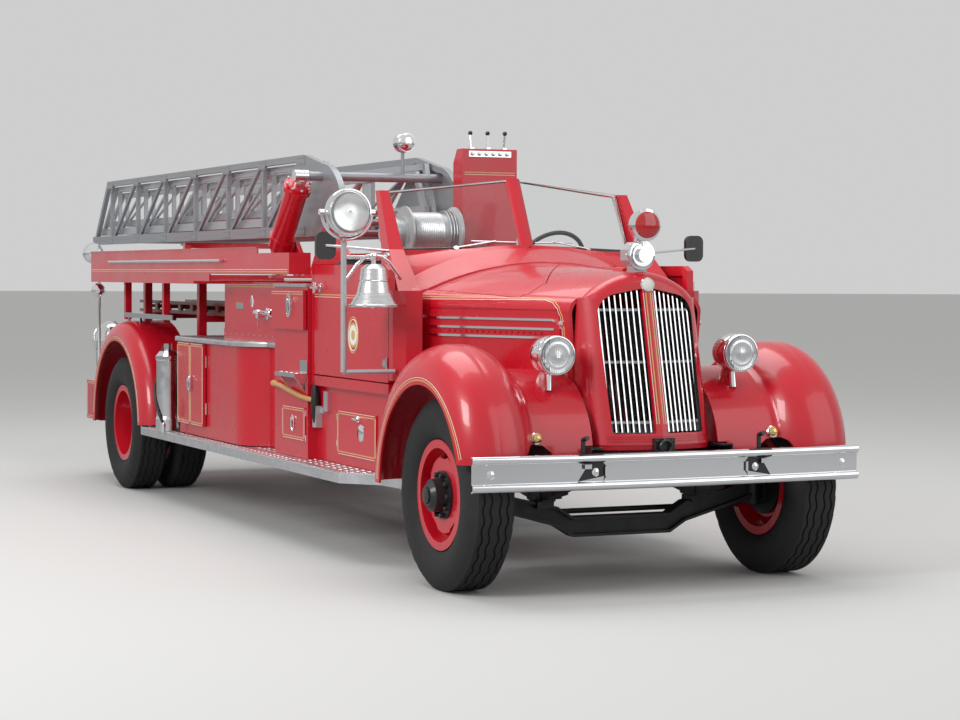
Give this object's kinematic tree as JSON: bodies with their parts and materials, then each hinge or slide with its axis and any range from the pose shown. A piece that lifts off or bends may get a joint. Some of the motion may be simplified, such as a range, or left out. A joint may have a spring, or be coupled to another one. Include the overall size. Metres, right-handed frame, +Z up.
{
  "type": "open cab aerial ladder fire engine",
  "caption": "Open cab ladder truck of the 1940s with a folded three-section metal aerial ladder on a turntable, raked V windscreen, round fenders and a bell post.",
  "frame": {"origin": "on the ground under the middle of the whole engine, ladder in its bed", "axes": "+X forward, +Y to the driver's left, +Z up"},
  "size_m": [10.5, 2.786, 2.68],
  "materials": {
    "red_paint": "gloss red coach paint",
    "grey_paint": "satin grey enamel",
    "black_paint": "satin black chassis paint",
    "chrome": "bright plate",
    "bright_tread": "diamond tread plate",
    "ladder_metal": "brushed, riveted",
    "rod_steel": "ground and plated",
    "forged_steel": "forged and painted black",
    "spring_steel": "dark spring steel",
    "bell_metal": "polished bell metal",
    "seat_leather": "black buttoned hide",
    "tyre": "black tread rubber",
    "glass": "flat safety glass",
    "core_black": "dark finned core",
    "wheel_black": "hard rubber rim",
    "ladder_wood": "red-brown varnished ash",
    "stripe_paint": "gold and cream lining",
    "red_glass": "ruby lens",
    "brass": "polished brass"
  },
  "bodies": {
    "chassis": {"frame_rails": "black_paint", "front_axle_beam": "forged_steel", "leaf_springs": "spring_steel", "rear_axle": "forged_steel", "engine_block": "grey_paint", "radiator_core": "core_black", "front_bumper": "chrome", "radiator_shell": "red_paint", "grille_bars": "chrome", "hood_shell": "red_paint", "front_fenders": "red_paint", "headlights": "chrome", "floodlamps": "chrome", "siren": "grey_paint", "cowl": "red_paint", "windscreen_frame": "red_paint", "windscreen_glass": "glass", "cab_body": "red_paint", "bench_seat": "seat_leather", "side_mirrors": "grey_paint", "bell_post": "grey_paint", "bell": "bell_metal", "running_boards": "bright_tread", "side_bodies": "red_paint", "rear_fenders": "red_paint", "tail_body": "red_paint", "deck_frame": "red_paint", "ground_ladders": "ladder_wood", "turntable_base": "black_paint", "extinguishers": "rod_steel"},
    "ladder_turret": {"turntable": "red_paint", "control_pedestal": "red_paint", "winch": "grey_paint"},
    "ladder_first": {"ladder_base": "ladder_metal"},
    "ladder_second": {"ladder_mid": "ladder_metal"},
    "ladder_third": {"ladder_fly": "ladder_metal"},
    "hoist_barrel_pair": {"hoist_barrels": "red_paint"},
    "hoist_rod_pair": {"hoist_rods": "rod_steel"},
    "knuckle_l": {"knuckle_left": "forged_steel"},
    "knuckle_r": {"knuckle_right": "forged_steel"},
    "track_rod": {"tie_rod": "forged_steel"},
    "front_wheel_l": {"wheel_front_left": "red_paint", "tyre_front_left": "tyre"},
    "front_wheel_r": {"wheel_front_right": "red_paint", "tyre_front_right": "tyre"},
    "rear_wheels_l": {"wheels_rear_left": "red_paint", "tyres_rear_left": "tyre"},
    "rear_wheels_r": {"wheels_rear_right": "red_paint", "tyres_rear_right": "tyre"},
    "hand_wheel": {"steering_wheel": "wheel_black"},
    "door_l": {"cab_door_left": "red_paint"},
    "door_r": {"cab_door_right": "red_paint"},
    "lid_l": {"hood_lid_left": "red_paint"},
    "lid_r": {"hood_lid_right": "red_paint"},
    "cabinet_l_front": {"cabinet_door_left_front": "red_paint"},
    "cabinet_l_rear": {"cabinet_door_left_rear": "red_paint"},
    "cabinet_r_front": {"cabinet_door_right_front": "red_paint"},
    "cabinet_r_rear": {"cabinet_door_right_rear": "red_paint"},
    "locker_l": {"locker_door_left": "red_paint"},
    "locker_r": {"locker_door_right": "red_paint"}
  },
  "joints": [
    {"name": "turntable_turn", "type": "hinge", "parent": "chassis", "child": "ladder_turret", "pos_m": [1.35, 0, 1.66], "axis": [0, 0, 1], "range_deg": [-130, 130]},
    {"name": "ladder_raise", "type": "hinge", "parent": "ladder_turret", "child": "ladder_first", "pos_m": [1.3, 0, 2.01], "axis": [0, 1, 0], "range_deg": [0, 75]},
    {"name": "ladder_extend", "type": "slide", "parent": "ladder_first", "child": "ladder_second", "axis": [-1, 0, 0], "range_m": [0, 5.2]},
    {"name": "fly_extend", "type": "slide", "parent": "ladder_second", "child": "ladder_third", "axis": [-1, 0, 0], "range_m": [0, 5.2]},
    {"name": "hoist_swing", "type": "hinge", "parent": "ladder_turret", "child": "hoist_barrel_pair", "pos_m": [0.56, 0, 1.885], "axis": [0, 1, 0], "range_deg": [0, 20.61]},
    {"name": "hoist_stroke", "type": "slide", "parent": "hoist_barrel_pair", "child": "hoist_rod_pair", "axis": [0.6839, 0, 0.7295], "range_m": [0, 0.466]},
    {"name": "steer_left", "type": "hinge", "parent": "chassis", "child": "knuckle_l", "pos_m": [4.57, 0.86, 0.515], "axis": [0, 0, 1], "range_deg": [-25, 25]},
    {"name": "steer_right", "type": "hinge", "parent": "chassis", "child": "knuckle_r", "pos_m": [4.57, -0.86, 0.515], "axis": [0, 0, 1], "range_deg": [-25, 25]},
    {"name": "track_rod_swing", "type": "hinge", "parent": "knuckle_l", "child": "track_rod", "pos_m": [4.38, 0.86, 0.411], "axis": [0, 0, 1], "range_deg": [-25, 25]},
    {"name": "hand_wheel_turn", "type": "hinge", "parent": "chassis", "child": "hand_wheel", "pos_m": [2.85, 0.42, 1.765], "axis": [-0.8331, 0, 0.5532], "range_deg": [-500, 500]},
    {"name": "front_wheel_l_roll", "type": "hinge", "parent": "knuckle_l", "child": "front_wheel_l", "pos_m": [4.57, 0.985, 0.515], "axis": [0, 1, 0], "continuous": true},
    {"name": "rear_wheels_l_roll", "type": "hinge", "parent": "chassis", "child": "rear_wheels_l", "pos_m": [-1.68, 0.86, 0.515], "axis": [0, 1, 0], "continuous": true},
    {"name": "door_l_swing", "type": "hinge", "parent": "chassis", "child": "door_l", "pos_m": [3.62, 1.008, 1.4], "axis": [0, 0, -1], "range_deg": [0, 62]},
    {"name": "lid_l_lift", "type": "hinge", "parent": "chassis", "child": "lid_l", "pos_m": [3.7, 0.037, 1.768], "axis": [0.9989, 0, -0.0475], "range_deg": [0, 60]},
    {"name": "cabinet_l_front_swing", "type": "hinge", "parent": "chassis", "child": "cabinet_l_front", "pos_m": [0.383, 1.11, 0.9], "axis": [0, 0, -1], "range_deg": [0, 110]},
    {"name": "cabinet_l_rear_swing", "type": "hinge", "parent": "chassis", "child": "cabinet_l_rear", "pos_m": [-0.24, 1.11, 0.9], "axis": [0, 0, 1], "range_deg": [0, 110]},
    {"name": "locker_l_swing", "type": "hinge", "parent": "chassis", "child": "locker_l", "pos_m": [1.7, 1.05, 1.466], "axis": [0, 0, 1], "range_deg": [0, 110]},
    {"name": "front_wheel_r_roll", "type": "hinge", "parent": "knuckle_r", "child": "front_wheel_r", "pos_m": [4.57, -0.985, 0.515], "axis": [0, 1, 0], "continuous": true},
    {"name": "rear_wheels_r_roll", "type": "hinge", "parent": "chassis", "child": "rear_wheels_r", "pos_m": [-1.68, -0.86, 0.515], "axis": [0, 1, 0], "continuous": true},
    {"name": "door_r_swing", "type": "hinge", "parent": "chassis", "child": "door_r", "pos_m": [3.62, -1.008, 1.4], "axis": [0, 0, 1], "range_deg": [0, 62]},
    {"name": "lid_r_lift", "type": "hinge", "parent": "chassis", "child": "lid_r", "pos_m": [3.7, -0.037, 1.768], "axis": [-0.9989, 0, 0.0475], "range_deg": [0, 60]},
    {"name": "cabinet_r_front_swing", "type": "hinge", "parent": "chassis", "child": "cabinet_r_front", "pos_m": [0.383, -1.11, 0.9], "axis": [0, 0, 1], "range_deg": [0, 110]},
    {"name": "cabinet_r_rear_swing", "type": "hinge", "parent": "chassis", "child": "cabinet_r_rear", "pos_m": [-0.24, -1.11, 0.9], "axis": [0, 0, -1], "range_deg": [0, 110]},
    {"name": "locker_r_swing", "type": "hinge", "parent": "chassis", "child": "locker_r", "pos_m": [1.7, -1.05, 1.466], "axis": [0, 0, -1], "range_deg": [0, 110]}
  ],
  "couplings": [
    {"joint": "fly_extend", "follows": "ladder_extend", "ratio": 1},
    {"joint": "hoist_swing", "follows": "ladder_raise", "ratio": 0.27464},
    {"joint": "hoist_stroke", "follows": "ladder_raise", "m_per_rad": 0.35583},
    {"joint": "steer_right", "follows": "steer_left", "ratio": 1},
    {"joint": "track_rod_swing", "follows": "steer_left", "ratio": -1},
    {"joint": "hand_wheel_turn", "follows": "steer_left", "ratio": 20}
  ]
}
